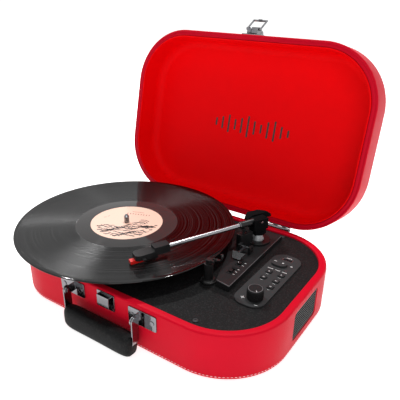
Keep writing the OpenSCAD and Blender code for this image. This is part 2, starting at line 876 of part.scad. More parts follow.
// Head: a collar around the tube, a tapering shell and a finger lift
module headshell() {
    color([0.1, 0.1, 0.1]) arm_place() {
        difference() {
            translate([0, -144, -5]) block(12, 20, 10.4);
            rotate([90, 0, 0]) cylinder(r = tube_d / 2 + 0.02, h = tube_end + 0.5);
        }
        translate([0, 0, -5.4]) linear_extrude(6.8)
            polygon([[-6, -153.8], [-8, -159], [-8, -shell_end + 4], [-5, -shell_end], [5, -shell_end],
                [8, -shell_end + 4], [8, -159], [6, -153.8]]);
        translate([10, -shell_end + 9, -3.4]) block(5, 4, 1.2);
    }
}

module cartridge() {
    color([0.15, 0.15, 0.15]) arm_place() translate([0, -159, -9.2]) block(10, 17, 3.8);
}

// Stylus holder with its nose in front of the shell, and the tip
module stylus() {
    color("red") arm_place() {
        translate([0, -176.1, -9.6]) block(7.4, 17.2, 4.2);
        translate([0, -arm_len, -10.3]) cylinder(r1 = 0.2, r2 = 0.6, h = 0.9);
    }
}

// Handle ------------------------------------------------------------

// Upright lug from the plate out to the rivet, rounded at its end
module bracket_ear(side) {
    translate([side * ear_x, handle_y, handle_z]) rotate([0, 90, 0])
        cylinder(r = 5.4, h = 1.6, center = true);
    translate([side * ear_x - 0.8, handle_y, handle_z - 5.4]) cube([1.6, handle_out, 10.8]);
}

// Two plates on the front, each with an ear that carries the handle's rivet
module handle_brackets() {
    front = -case_d / 2;
    color("silver") for (side = [-1, 1]) {
        difference() {
            translate([side * bracket_x, front, bracket_z]) rotate([90, 0, 0])
                rounded_plate(bracket_w, bracket_h, 2, 1.4);
            for (i = [-1, 1]) translate([side * bracket_x + i * 14, front, bracket_z])
                rotate([90, 0, 0]) cylinder(r = 1.7, h = 6, center = true);
        }
        difference() {
            bracket_ear(side);
            translate([side * ear_x, handle_y, handle_z]) round_x(2.03, 8);
        }
        for (i = [-1, 1]) translate([side * bracket_x + i * 14, front - 1.4, bracket_z])
            rotate([90, 0, 0]) {
                cylinder(r = 3, h = 0.8);
                translate([0, 0, -1.4]) cylinder(r = 1.65, h = 1.5);
            }
    }
}

// U-shaped flat strap: two legs, round corners and a foot, with the rivets it turns on
module handle_bail() {
    bend_r = 16;
    low = grip_low + 6;
    half = handle_w / 2;
    color("silver") {
        for (side = [-1, 1]) {
            translate([side * half - strap_t / 2, handle_y - strap_w / 2, low + bend_r])
                cube([strap_t, strap_w, handle_z - low - bend_r]);
            translate([side * half, handle_y, handle_z]) round_x(strap_w / 2, strap_t);
            translate([side * (half - 2.2), handle_y, handle_z]) round_x(1.98, 4.4);
            translate([side * (half - 4), handle_y, handle_z]) round_x(3.4, 0.9);
            translate([side * (half - bend_r + strap_t / 2), handle_y + strap_w / 2, low + bend_r])
                rotate([90, 0, 0]) rotate([0, 0, side > 0 ? 270 : 180]) linear_extrude(strap_w)
                intersection() {
                    difference() {
                        circle(bend_r);
                        circle(bend_r - strap_t);
                    }
                    square(bend_r + 1);
                }
        }
        translate([0, handle_y, low]) block(handle_w - 2 * bend_r + strap_t, strap_w, strap_t);
    }
}

// Padded grip moulded round the strap's foot, with a slot for the strap
module handle_grip() {
    body_w = handle_w - strap_t - 0.6;
    slot_r = 16;
    low = grip_low + 6;
    color([0.1, 0.1, 0.1]) translate([0, handle_y, 0]) difference() {
        rotate([90, 0, 0]) linear_extrude(grip_t, center = true) intersection() {
            union() {
                translate([-body_w / 2, grip_low + 18]) square([body_w, grip_h - 18]);
                translate([-body_w / 2 + 18, grip_low]) square([body_w - 36, grip_h]);
                for (side = [-1, 1]) translate([side * (body_w / 2 - 18), grip_low + 18]) circle(18);
            }
            translate([-body_w / 2, grip_low]) square([body_w, grip_h]);
        }
        rotate([90, 0, 0]) linear_extrude(strap_w + 0.4, center = true) difference() {
            union() {
                translate([-handle_w / 2 - 2, low + slot_r - 0.2]) square([handle_w + 4, 40]);
                translate([-handle_w / 2 + slot_r - 1, low - 0.2]) square([handle_w - 2 * slot_r + 2, 12]);
                for (side = [-1, 1]) translate([side * (handle_w / 2 - slot_r + strap_t / 2), low + slot_r])
                    circle(slot_r + 0.2);
            }
            translate([-handle_w / 2 + strap_t / 2 + 0.2, low + slot_r - 1])
                square([handle_w - strap_t - 0.4, 42]);
            translate([-handle_w / 2 + slot_r - 2, low + strap_t + 0.2])
                square([handle_w - 2 * slot_r + 4, 42]);
            for (side = [-1, 1]) translate([side * (handle_w / 2 - slot_r + strap_t / 2), low + slot_r])
                circle(slot_r - strap_t - 0.2);
        }
    }
}

// Plate on the base with a box-shaped hook that opens downwards
module catch_plate() {
    front = -case_d / 2;
    plate_h = 22;
    low = rim_z - 24;
    color("silver") {
        difference() {
            translate([0, front, low + plate_h / 2]) rotate([90, 0, 0]) rounded_plate(27, plate_h, 1.5, 1.2);
            for (side = [-1, 1]) translate([side * 11.4, front, low + 3]) rotate([90, 0, 0])
                cylinder(r = 1, h = 6, center = true);
        }
        translate([0, front - 3.6, low + 18.2]) block(18, 5.2, 1.6);
        translate([0, front - 5.6, low + 5]) block(18, 1.2, 13.4);
    }
}

// Hinges ------------------------------------------------------------

knuckle_count = 5;
knuckle_l = hinge_l / knuckle_count - 0.3;

// Every other knuckle of one hinge, starting at the given one
module knuckles(first) {
    for (i = [first:2:knuckle_count - 1])
        translate([(i + 0.5) * hinge_l / knuckle_count - hinge_l / 2, hinge_y, hinge_z]) difference() {
            union() {
                round_x(knuckle_r, knuckle_l);
                children();
            }
            round_x(hinge_pin_r + 0.05, hinge_l);
        }
}

// Leaves on the back wall with their knuckles and the pins
module hinge_base_leaves() {
    color("silver") both_sides() {
        knuckles(0) translate([-knuckle_l / 2, case_d / 2 - hinge_y, -5])
            cube([knuckle_l, hinge_y - case_d / 2, 3.4]);
        translate([0, case_d / 2 + 1, hinge_z - 24]) rotate([90, 0, 0]) translate([0, 9.5, 0])
            block(hinge_l, 22, 1);
        translate([0, hinge_y, hinge_z]) {
            round_x(hinge_pin_r, hinge_l + 1);
            for (side = [-1, 1]) translate([side * (hinge_l / 2 + 0.7), 0, 0]) round_x(1.9, 1);
        }
    }
}

module hinge_lid_leaves() {
    color("silver") lid_open_place() both_sides() {
        knuckles(1) translate([-knuckle_l / 2, case_d / 2 - hinge_y, 1.6])
            cube([knuckle_l, hinge_y - case_d / 2, 3.4]);
        translate([0, case_d / 2 + 1, hinge_z + 13]) rotate([90, 0, 0]) block(hinge_l, 22, 1);
    }
}

// Lid ---------------------------------------------------------------

module lid_shell() {
    side_t = wall - lining_t;
    color("red") lid_open_place() translate([0, 0, rim_z]) difference() {
        rounded_plate(case_w, case_d, case_r, lid_h);
        translate([0, 0, -1])
            rounded_plate(case_w - 2 * side_t, case_d - 2 * side_t, case_r - side_t,
                lid_h - lid_top + lining_top + 1);
    }
}

// Thin tray that lines the lid
module lid_lining() {
    side_t = wall - lining_t;
    color("red") lid_open_place() translate([0, 0, rim_z]) difference() {
        rounded_plate(case_w - 2 * side_t, case_d - 2 * side_t, case_r - side_t,
            lid_h - lid_top + lining_top);
        translate([0, 0, -1]) rounded_plate(inner_w, inner_d, inner_r, lid_h - lid_top + 1);
    }
}

// Outline of a latch ear from the side: X away from the wall, Y up the lid
module latch_ear_outline() {
    polygon([[0, 1], [loop_out + 1, 1], [loop_out + 2, 3], [loop_out + 2, 9], [6, 19], [0, 22]]);
}

// Plate riveted to the lid's front wall, with two ears for the loop and the lever
module latch_plate() {
    front = -case_d / 2;
    color("silver") lid_open_place() {
        difference() {
            translate([0, front, latch_low + latch_h / 2]) rotate([90, 0, 0])
                rounded_plate(latch_w, latch_h, 1.5, 1.2);
            for (side = [-1, 1], z = [5, 21]) translate([side * 12.8, front, latch_low + z])
                rotate([90, 0, 0]) cylinder(r = 1.2, h = 6, center = true);
        }
        for (side = [-1, 1]) difference() {
            translate([side * latch_ear_x, front, latch_low]) rotate([90, 0, -90])
                linear_extrude(1.2, center = true) latch_ear_outline();
            translate([0, front - loop_out, loop_z]) round_x(loop_pin + 0.05, 40);
            translate([0, front - lever_out, lever_z]) round_x(1.25, 40);
        }
    }
}

// Short folding lever between the ears, raised
module latch_lever() {
    front = -case_d / 2;
    color("dimgray") lid_open_place() translate([0, front - lever_out, lever_z]) {
        round_x(1.2, 2 * latch_ear_x + 2);
        round_x(2, lever_w);
        translate([0, -lever_l / 2, -2]) block(lever_w, lever_l, 4);
        translate([0, -lever_l, 0]) round_x(2, lever_w);
    }
}

// Flat frame that swings on the ears and drops over the catch, with a finger tab
module latch_loop() {
    front = -case_d / 2;
    half = loop_w / 2 - loop_strip / 2;
    color("silver") lid_open_place() translate([0, front - loop_out, loop_z]) rotate([loop_lean, 0, 0]) {
        for (side = [-1, 1]) translate([side * half, 0, 0]) {
            round_x(2, loop_strip);
            block(loop_strip, loop_t, loop_l - 2);
            translate([-side * 1.6, 0, 0]) round_x(loop_pin, 3.2);
        }
        translate([0, 0, loop_l - 2.6]) block(loop_w, loop_t, 2.6);
        translate([0, 0, loop_l - 1.5]) block(6, 3.4, 1.5);
    }
}

base_shell();
base_bottom();
feet();
deck();
deck_screws();
speaker_grille_right();
speaker_grille_left();
speaker_right();
speaker_left();
rear_panel();
line_out_jacks();
power_inlet();
audio_sockets();
main_board();
motor();
motor_pulley();
drive_belt();
platter_bearing();
platter();
slip_mat();
spindle();
record();
record_label();
control_panel();
control_board();
usb_socket();
status_lights();
volume_control();
volume_knob();
play_button();
previous_button();
next_button();
record_button();
repeat_button();
mode_button();
arm_board();
speed_switch();
auto_stop_switch();
arm_base();
lift_bar();
cue_lever();
arm_rest();
arm_rest_clip();
turret_yoke();
turret_cap();
arm_tube();
headshell();
cartridge();
stylus();
handle_brackets();
handle_bail();
handle_grip();
catch_plate();
hinge_base_leaves();
lid_shell();
lid_lining();
hinge_lid_leaves();
latch_plate();
latch_lever();
latch_loop();
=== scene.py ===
import json
import math
import random

import bmesh
import bpy
from mathutils import Matrix, Vector


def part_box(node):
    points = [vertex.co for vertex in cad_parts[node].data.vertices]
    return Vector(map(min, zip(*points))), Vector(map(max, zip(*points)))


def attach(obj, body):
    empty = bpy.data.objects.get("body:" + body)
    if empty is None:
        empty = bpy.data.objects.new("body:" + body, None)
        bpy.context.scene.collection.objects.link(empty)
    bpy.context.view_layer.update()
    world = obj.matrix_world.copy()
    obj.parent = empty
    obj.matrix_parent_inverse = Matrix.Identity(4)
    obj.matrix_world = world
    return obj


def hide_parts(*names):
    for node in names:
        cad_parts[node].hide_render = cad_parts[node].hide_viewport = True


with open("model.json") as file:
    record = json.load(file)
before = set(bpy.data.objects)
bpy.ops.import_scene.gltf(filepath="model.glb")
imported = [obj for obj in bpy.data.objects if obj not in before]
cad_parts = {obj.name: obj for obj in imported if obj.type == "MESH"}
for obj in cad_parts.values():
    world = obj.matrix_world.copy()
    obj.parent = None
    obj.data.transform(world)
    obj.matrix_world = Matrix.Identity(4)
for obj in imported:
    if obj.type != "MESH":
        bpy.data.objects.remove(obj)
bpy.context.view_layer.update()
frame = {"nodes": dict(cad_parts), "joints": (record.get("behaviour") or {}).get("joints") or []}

# Suitcase record player: the looks around the CAD frame. Lengths in the helpers are millimetres
# and become metres when a mesh is made.
MM = 0.001
rng = random.Random(7)


def mm(node):
    """Lowest and highest corner of a CAD node, in millimetres."""
    low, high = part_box(node)
    return low / MM, high / MM


def middle(node):
    """Middle of a CAD node's box, in millimetres."""
    low, high = mm(node)
    return (low + high) / 2


def rgb(r, g, b):
    """Screen colour, 0 to 255, as a linear colour."""
    def linear(v):
        v /= 255
        return v / 12.92 if v <= 0.04045 else ((v + 0.055) / 1.055) ** 2.4
    return (linear(r), linear(g), linear(b), 1.0)


# Places that the frame gives ---------------------------------------------------

case_low, case_high = mm("base_shell")
rear_low, rear_high = mm("rear_panel")
HALF_W = (case_high.x - case_low.x) / 2
HALF_D = (case_high.y - case_low.y) / 2
FLOOR_Z = case_low.z
RIM_Z = case_high.z
deck_low, deck_high = mm("deck")
panel_top = mm("control_panel")[1].z
board_low, board_high = mm("arm_board")
disc_low, disc_high = mm("record")
disc_r = (disc_high.x - disc_low.x) / 2
SPINDLE = middle("record")
joints = {j["name"]: j for j in frame["joints"]}

# Dimensions that the frame's boxes don't show, as in the part
CORNER = 83.5           # corner radius of the case and the lid
WALL = 10.0
LID_H = 48.3
LID_OPEN = 102.5        # degrees
ARM_TURN = -27.6        # degrees, the arm's direction at rest
ARM_TILT = 2.0          # degrees, the stylus end down

# Radii of the record's grooved part, which is in the looks only
GROOVES_IN = 70.0
GROOVES_OUT = 146.0


# Materials ---------------------------------------------------------------------

def surface(name, metal=0.0, coat=0.0, coat_rough=0.1, sheen=0.0, spec=0.5, clear=0.0, aniso=0.0):
    """A new material and its main shader, with the values that are the same all over."""
    m = bpy.data.materials.new(name)
    m.use_nodes = True
    p = m.node_tree.nodes["Principled BSDF"]
    for socket, value in (("Metallic", metal), ("Coat Weight", coat), ("Coat Roughness", coat_rough),
                          ("Sheen Weight", sheen), ("Sheen Roughness", 0.4), ("Specular IOR Level", spec),
                          ("Transmission Weight", clear), ("Anisotropic", aniso),
                          ("Anisotropic Rotation", 0.25 if aniso else 0.0)):
        p.inputs[socket].default_value = value
    return m, p


def wire(m, source, target):
    """Links an output to an input."""
    m.node_tree.links.new(source, target)


def add(m, kind, **values):
    """A new node. An underscore in an input's name stands for a space."""
    node = m.node_tree.nodes.new("ShaderNode" + kind)
    for socket, value in values.items():
        node.inputs[socket.replace("_", " ")].default_value = value
    return node


def place_output(m):
    """Where on the object a point is, in metres."""
    return add(m, "TexCoord").outputs["Object"]


def noise(m, place, scale, detail):
    """An even noise over the surface."""
    node = add(m, "TexNoise", Scale=scale, Detail=detail)
    wire(m, place, node.inputs["Vector"])
    return node.outputs["Fac"]


def mapped(m, value, **limits):
    """A value carried from one range to another."""
    node = add(m, "MapRange", **limits)
    wire(m, value, node.inputs["Value"])
    return node.outputs["Result"]


def blend(m, factor, first, second):
    """A colour between two, each a plain colour or an output."""
    node = add(m, "Mix")
    node.data_type = "RGBA"
    wire(m, factor, node.inputs[0])
    for socket, value in ((6, first), (7, second)):
        if isinstance(value, tuple):
            node.inputs[socket].default_value = value
        else:
            wire(m, value, node.inputs[socket])
    return node.outputs[2]


def bumped(m, height, depth, normal=None):
    """A normal from a height, depth in millimetres, on top of another normal."""
    node = add(m, "Bump", Strength=1.0, Distance=depth * MM)
    wire(m, height, node.inputs["Height"])
    if normal:
        wire(m, normal, node.inputs["Normal"])
    return node.outputs["Normal"]


def combined(m, kind, operation, first, second):
    """A Math or VectorMath node's first output. The second value is an output or a vector."""
    node = add(m, kind)
    node.operation = operation
    wire(m, first, node.inputs[0])
    if isinstance(second, tuple):
        node.inputs[1].default_value = second
    else:
        wire(m, second, node.inputs[1])
    return node.outputs[0]


def shader(name, colour, rough, vary=0.12, grain=700.0, depth=0.0, fine=0.0, bevel=0.0, cells=False,
           **values):
    """A surface with a slightly uneven colour and gloss, pale flecks, a grain and soft edges.

    vary is the colour's spread, grain the bump's scale, depth its height and bevel the soft edge's
    radius in millimetres, fine the flecks' lightness, and cells makes leather-like cells."""
    m, p = surface(name, **values)
    place = place_output(m)
    blotch = noise(m, place, scale=38.0, detail=4.0)
    darker = tuple(c * (1 - vary) for c in colour[:3]) + (1.0,)
    lighter = tuple(min(1.0, c * (1 + vary)) for c in colour[:3]) + (1.0,)
    tint = blend(m, blotch, darker, lighter)
    if fine:
        speckle = noise(m, place, scale=grain * 0.55, detail=2.0)
        flecks = mapped(m, speckle, From_Min=0.5, From_Max=0.72)
        pale = tuple(min(1.0, c + fine) for c in colour[:3]) + (1.0,)
        tint = blend(m, flecks, tint, pale)
    wire(m, tint, p.inputs["Base Color"])
    gloss_vary = 0.15
    gloss = mapped(m, blotch, To_Min=max(0.02, rough * (1 - gloss_vary)),
                   To_Max=min(1.0, rough * (1 + gloss_vary)))
    wire(m, gloss, p.inputs["Roughness"])
    normal = None
    if bevel:
        soft = add(m, "Bevel", Radius=bevel * MM)
        soft.samples = 6
        normal = soft.outputs["Normal"]
    if depth and cells:
        height = add(m, "TexVoronoi")
        height.feature = "SMOOTH_F1"
        height.inputs["Scale"].default_value = grain
        wire(m, place, height.inputs["Vector"])
        normal = bumped(m, height.outputs["Distance"], depth, normal)
    elif depth:
        normal = bumped(m, noise(m, place, scale=grain, detail=3.0), depth, normal)
    if normal:
        wire(m, normal, p.inputs["Normal"])
    return m


def vinyl_shader():
    """Black vinyl: rings of grooves, lighter and darker by bands of painted reflection, smooth lead-in
    and dead wax, the dead wax painted a lighter grey as reflection.
    """
    m, p = surface("vinyl_black", coat=0.17, coat_rough=0.03, aniso=1.0, spec=0.13)
    centre = (SPINDLE.x * MM, SPINDLE.y * MM, 0.0)
    from_spindle = combined(m, "VectorMath", "SUBTRACT", place_output(m), centre)
    level = combined(m, "VectorMath", "MULTIPLY", from_spindle, (1.0, 1.0, 0.0))
    length = add(m, "VectorMath")
    length.operation = "LENGTH"
    wire(m, level, length.inputs[0])
    radius = length.outputs["Value"]
    bands = add(m, "TexNoise")
    bands.noise_dimensions = "1D"
    bands.inputs["Scale"].default_value = 420.0
    bands.inputs["Detail"].default_value = 6.0
    wire(m, radius, bands.inputs["W"])
    fade = 0.6
    past_wax = mapped(m, radius, From_Min=GROOVES_IN * MM, From_Max=(GROOVES_IN + fade) * MM)
    before_edge = mapped(m, radius, From_Min=GROOVES_OUT * MM, From_Max=(GROOVES_OUT - fade) * MM)
    grooved = combined(m, "Math", "MULTIPLY", past_wax, before_edge)
    height = combined(m, "Math", "MULTIPLY", bands.outputs["Fac"], grooved)
    wire(m, bumped(m, height, 0.45), p.inputs["Normal"])
    wire(m, mapped(m, grooved, To_Min=0.08, To_Max=0.26), p.inputs["Roughness"])
    # Painted reflection: lighter and darker bands in the colour stand for light caught by the rings of
    # grooves
    painted_sheen_bands = mapped(m, bands.outputs["Fac"], From_Min=0.46, From_Max=0.66)
    rings = blend(m, painted_sheen_bands, rgb(0, 0, 0), rgb(32, 32, 33))
    # Painted reflection: the dead wax and the middle are painted a lighter grey for the shine of the
    # smooth vinyl
    wire(m, blend(m, past_wax, rgb(52, 51, 51), rings), p.inputs["Base Color"])
    around = add(m, "Tangent")
    around.direction_type = "RADIAL"
    around.axis = "Z"
    wire(m, around.outputs["Tangent"], p.inputs["Tangent"])
    return m


M = {
    "cover": shader("leather_red", rgb(198, 5, 34), 0.45, vary=0.05, grain=1300, depth=0.14,
                    cells=True, bevel=1.2, sheen=0.02, spec=0.06),
    "lining": shader("lining_red", rgb(240, 1, 8), 0.6, vary=0.04, grain=2200, depth=0.03, spec=0.06),
    "board": shader("bottom_board", rgb(38, 36, 35), 0.8, vary=0.2, grain=900, depth=0.12),
    "rubber": shader("rubber_black", rgb(22, 22, 22), 0.75, grain=1500, depth=0.05, bevel=0.6),
    "deck": shader("deck_black", rgb(10, 10, 11), 0.6, vary=0.2, grain=1000, depth=0.3, fine=0.014,
                   cells=True, bevel=0.5, spec=0.1),
    "plastic": shader("plastic_black", rgb(18, 18, 19), 0.34, grain=2500, depth=0.01, bevel=0.6,
                      spec=0.28),
    "gloss": shader("plastic_gloss", rgb(30, 30, 31), 0.4, grain=2500, depth=0.005, bevel=0.9, spec=0.1),
    "turret": shader("turret_black", rgb(14, 14, 15), 0.75, grain=2500, depth=0.01, bevel=0.8,
                     spec=0.02),
    "ribbed": shader("grille_black", rgb(58, 62, 61), 0.5, grain=1800, depth=0.02),
    # Near black: painted shade between the grille's bars
    "hollow": shader("grille_painted_shade", rgb(4, 4, 4), 0.9, spec=0.0),
    "gloss_dark": shader("screw_black", rgb(70, 70, 72), 0.3, metal=0.8),
    "matte": shader("plastic_matte", rgb(24, 24, 25), 0.55, grain=1800, depth=0.05, bevel=0.5),
    "panel": shader("panel_grey", rgb(48, 49, 50), 0.6, grain=2200, depth=0.03, bevel=0.9, spec=0.1),
    "button": shader("button_black", rgb(24, 24, 25), 0.55, grain=2200, depth=0.01, bevel=0.5, spec=0.1),
    "key": shader("key_grey", rgb(42, 42, 43), 0.6, grain=2200, depth=0.01, bevel=0.4, spec=0.06),
    "grip": shader("grip_black", rgb(6, 6, 7), 0.5, grain=1200, depth=0.2, fine=0.012, cells=True,
                   spec=0.12),
    "chrome": shader("chrome", rgb(128, 128, 131), 0.12, metal=1.0, vary=0.05, bevel=0.45),
    "steel": shader("steel", rgb(165, 165, 168), 0.3, metal=1.0, vary=0.1, bevel=0.3),
    "silver": shader("tube_silver", rgb(140, 140, 143), 0.24, metal=1.0, vary=0.05, bevel=0.2),
    "platter": shader("platter_black", rgb(26, 26, 27), 0.35, bevel=0.8),
    "felt": shader("felt_grey", rgb(40, 40, 42), 0.95, vary=0.3, grain=1500, depth=0.3, sheen=0.4),
    "vinyl": vinyl_shader(),
    "paper": shader("label_paper", rgb(226, 188, 168), 0.55, vary=0.04, grain=2500, depth=0.01),
    "ink": shader("ink_dark", rgb(52, 44, 44), 0.6, vary=0.2),
    "ink_red": shader("ink_red", rgb(140, 84, 76), 0.6, vary=0.2),
    "print": shader("print_white", rgb(205, 205, 205), 0.5, vary=0.06),
    "mark": shader("print_black", rgb(34, 4, 6), 0.5, vary=0.1),
    "thread": shader("thread_pale", rgb(252, 216, 220), 0.7, vary=0.08, grain=4000, depth=0.05),
    "green": shader("board_green", rgb(20, 84, 46), 0.4, vary=0.3),
    # Light grey: painted highlight on the arm board's edges; also the ring on the knob's top
    "edge": shader("edge_grey", rgb(92, 92, 94), 0.4, vary=0.05, spec=0.3),
    # Light grey: painted highlight for the sheen on the turret's cone
    "satin": shader("cone_painted_sheen", rgb(150, 152, 154), 0.5, metal=0.75, vary=0.05, bevel=0.3),
    "brass": shader("brass", rgb(196, 160, 90), 0.28, metal=1.0, vary=0.1, bevel=0.3),
    "cone": shader("speaker_paper", rgb(48, 47, 46), 0.85, vary=0.2, grain=900, depth=0.1),
    "smoky": shader("smoky_clear", rgb(90, 90, 94), 0.08, vary=0.05, clear=0.75, bevel=0.4),
    "stylus": shader("stylus_red", rgb(214, 22, 16), 0.25, vary=0.05, bevel=0.3),
    "lamp": shader("lamp_clear", rgb(70, 70, 72), 0.2, vary=0.05),
}

PAINT = {
    "board": ["base_bottom"], "rubber": ["feet", "drive_belt"], "deck": ["deck"],
    "gloss_dark": ["deck_screws"],
    "steel": ["line_out_jacks", "motor", "platter_bearing", "usb_socket", "volume_control"],
    "ribbed": ["speaker_grille_right", "speaker_grille_left"],
    "matte": ["rear_panel", "audio_sockets", "power_inlet"],
    "cone": ["speaker_right", "speaker_left"], "green": ["main_board", "control_board"],
    "brass": ["motor_pulley"], "platter": ["platter"], "felt": ["slip_mat"],
    "chrome": ["spindle", "handle_brackets", "handle_bail", "catch_plate", "hinge_base_leaves",
               "hinge_lid_leaves", "latch_plate", "latch_lever", "latch_loop"],
    "panel": ["control_panel", "mode_button"], "lamp": ["status_lights"],
    "button": ["volume_knob"],
    "key": ["play_button", "previous_button", "next_button", "record_button", "repeat_button"],
    "gloss": ["arm_board", "headshell"], "turret": ["turret_cap", "turret_yoke"],
    "plastic": ["speed_switch", "auto_stop_switch", "arm_base", "lift_bar", "arm_rest",
                "arm_rest_clip", "cartridge"],
    "smoky": ["cue_lever"], "silver": ["arm_tube"], "stylus": ["stylus"],
    "vinyl": ["record"], "paper": ["record_label"], "cover": ["base_shell", "lid_shell"],
    "lining": ["lid_lining"], "grip": ["handle_grip"],
}
for finish_name, node_names in PAINT.items():
    for node_name in node_names:
        slots = frame["nodes"][node_name].data.materials
        slots.clear()
        slots.append(M[finish_name])


# Mesh helpers ------------------------------------------------------------------

def mesh(name, verts, faces, place=None):
    """A mesh from millimetre points, with its faces turned outward."""
    place = place or Matrix.Identity(4)
    data = bpy.data.meshes.new(name)
    data.from_pydata([(place @ Vector(v)) * MM for v in verts], [], faces)
    work = bmesh.new()
    work.from_mesh(data)
    bmesh.ops.recalc_face_normals(work, faces=work.faces)
    work.to_mesh(data)
    work.free()
    return data


def smoothed(data, angle):
    """Smooth shading, sharp where faces meet at more than an angle in degrees."""
    data.shade_smooth()
    data.set_sharp_from_angle(angle=math.radians(angle))


def link(name, data):
    """A new object in the scene."""
    found = bpy.data.objects.new(name, data)
    bpy.context.scene.collection.objects.link(found)
    return found


def make(name, shape, material, body, place=None, smooth=40.0, stands_for=()):
    """A piece from (verts, faces), riding on a body."""
    data = mesh(name, *shape, place)
    smoothed(data, smooth)
    data.materials.append(M[material])
    piece = link(name, data)
    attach(piece, body)
    if stands_for:
        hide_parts(*stands_for)
    return piece


def arc(cx, cy, r, start, end, steps):
    """Points of an arc, angles in degrees."""
    found = []
    for i in range(steps + 1):
        a = math.radians(start + (end - start) * i / steps)
        found.append((cx + r * math.cos(a), cy + r * math.sin(a)))
    return found


def rounded_loop(half_w, half_d, r, z, steps=22):
    """A rounded rectangle as one ring of points."""
    found = []
    for sx, sy, start in ((1, 1, 0), (-1, 1, 90), (-1, -1, 180), (1, -1, 270)):
        for x, y in arc(sx * (half_w - r), sy * (half_d - r), r, start, start + 90, steps):
            found.append((x, y, z))
    return found


def loft(loops, closed=False):
    """Verts and faces through rings of equal length: a ring of rings, or capped at both ends."""
    n = len(loops[0])
    verts = [p for loop in loops for p in loop]
    faces = []
    spans = len(loops) if closed else len(loops) - 1
    for k in range(spans):
        a = k * n
        b = ((k + 1) % len(loops)) * n
        for i in range(n):
            j = (i + 1) % n
            faces.append((a + i, a + j, b + j, b + i))
    if not closed:
        faces.append(tuple(range(n)))
        faces.append(tuple(range((len(loops) - 1) * n, len(loops) * n)))
    return verts, faces


def case_loops(profile):
    """Rings of the case's outline for a profile of (inset, z)."""
    return [rounded_loop(HALF_W - i, HALF_D - i, CORNER - i, z) for i, z in profile]


def lathe(profile, centre, steps):
    """Rings round a vertical axis for a profile of (radius, z)."""
    turns = [t * math.tau / steps for t in range(steps)]
    return [[(centre.x + r * math.cos(a), centre.y + r * math.sin(a), z) for a in turns]
            for r, z in profile]


def gather(parts):
    """Several (verts, faces) as one."""
    verts, faces = [], []
    for part_verts, part_faces in parts:
        first = len(verts)
        verts.extend(part_verts)
        faces.extend(tuple(first + i for i in face) for face in part_faces)
    return verts, faces


def prism(points, low, high):
    """An upright solid on an outline of (x, y) points."""
    return loft([[(x, y, z) for x, y in points] for z in (low, high)])


def stroke(x0, y0, x1, y1, width, low, high, steps=5):
    """A printed line with round ends."""
    a = math.degrees(math.atan2(y1 - y0, x1 - x0))
    ends = arc(x1, y1, width / 2, a - 90, a + 90, steps) + arc(x0, y0, width / 2, a + 90, a + 270, steps)
    return prism(ends, low, high)


def plus(x, y, half, width, low, high):
    """A printed plus sign."""
    return [stroke(x - half, y, x + half, y, width, low, high),
            stroke(x, y - half, x, y + half, width, low, high)]


def box(x0, x1, y0, y1, z0, z1):
    """A block from its limits."""
    return prism([(x0, y0), (x1, y0), (x1, y1), (x0, y1)], z0, z1)


def side_plate(half_y, half_z, r, y, z, x0, x1):
    """A rounded rectangle in the YZ plane, from x0 to x1."""
    ring = rounded_loop(half_y, half_z, r, 0, 8)
    return loft([[(x, y + p[0], z + p[1]) for p in ring] for x in (x0, x1)])


def thread(a, b, r, sides=6):
    """A short round bar from a to b with rounded ends."""
    a, b = Vector(a), Vector(b)
    along = (b - a).normalized()
    u = along.orthogonal().normalized()
    v = along.cross(u)
    loops = []
    for t, share in ((0.0, 0.35), (0.12, 0.85), (0.5, 1.0), (0.88, 0.85), (1.0, 0.35)):
        centre = a.lerp(b, t)
        ring = []
        for k in range(sides):
            turn = k * math.tau / sides
            ring.append(tuple(centre + r * share * (math.cos(turn) * u + math.sin(turn) * v)))
        loops.append(ring)
    return loft(loops)


def walk(inset, pitch):
    """Evenly spaced (place, direction) round the case's outline."""
    ring = rounded_loop(HALF_W - inset, HALF_D - inset, CORNER - inset, 0, 60)
    ring.append(ring[0])
    lengths = [0.0]
    for p, q in zip(ring, ring[1:]):
        lengths.append(lengths[-1] + math.dist(p, q))
    count = round(lengths[-1] / pitch)
    found = []
    k = 0
    for i in range(count):
        s = i * lengths[-1] / count
        while lengths[k + 1] < s:
            k += 1
        p, q = Vector(ring[k]), Vector(ring[k + 1])
        t = (s - lengths[k]) / max(1e-9, lengths[k + 1] - lengths[k])
        found.append((p.lerp(q, t), (q - p).normalized()))
    return found


def cut(piece, shapes):
    """Takes closed shapes out of a piece."""
    tools = []
    for i, shape in enumerate(shapes):
        tool = link(f"cutter_{i}", mesh(f"cutter_{i}", *shape))
        change = piece.modifiers.new("cut", "BOOLEAN")
        change.operation = "DIFFERENCE"
        change.solver = "EXACT"
        change.object = tool
        tools.append(tool)
    graph = bpy.context.evaluated_depsgraph_get()
    data = bpy.data.meshes.new_from_object(piece.evaluated_get(graph))
    piece.modifiers.clear()
    old = piece.data
    piece.data = data
    smoothed(data, 35)
    bpy.data.meshes.remove(old)
    for tool in tools:
        bpy.data.objects.remove(tool)


def ink(top, rise=0.05, sunk=0.05):
    """Low and high side of print on a surface."""
    return top - sunk, top + rise


# Case --------------------------------------------------------------------------

grille_low, grille_high = mm("speaker_grille_right")
grille = middle("speaker_grille_right")


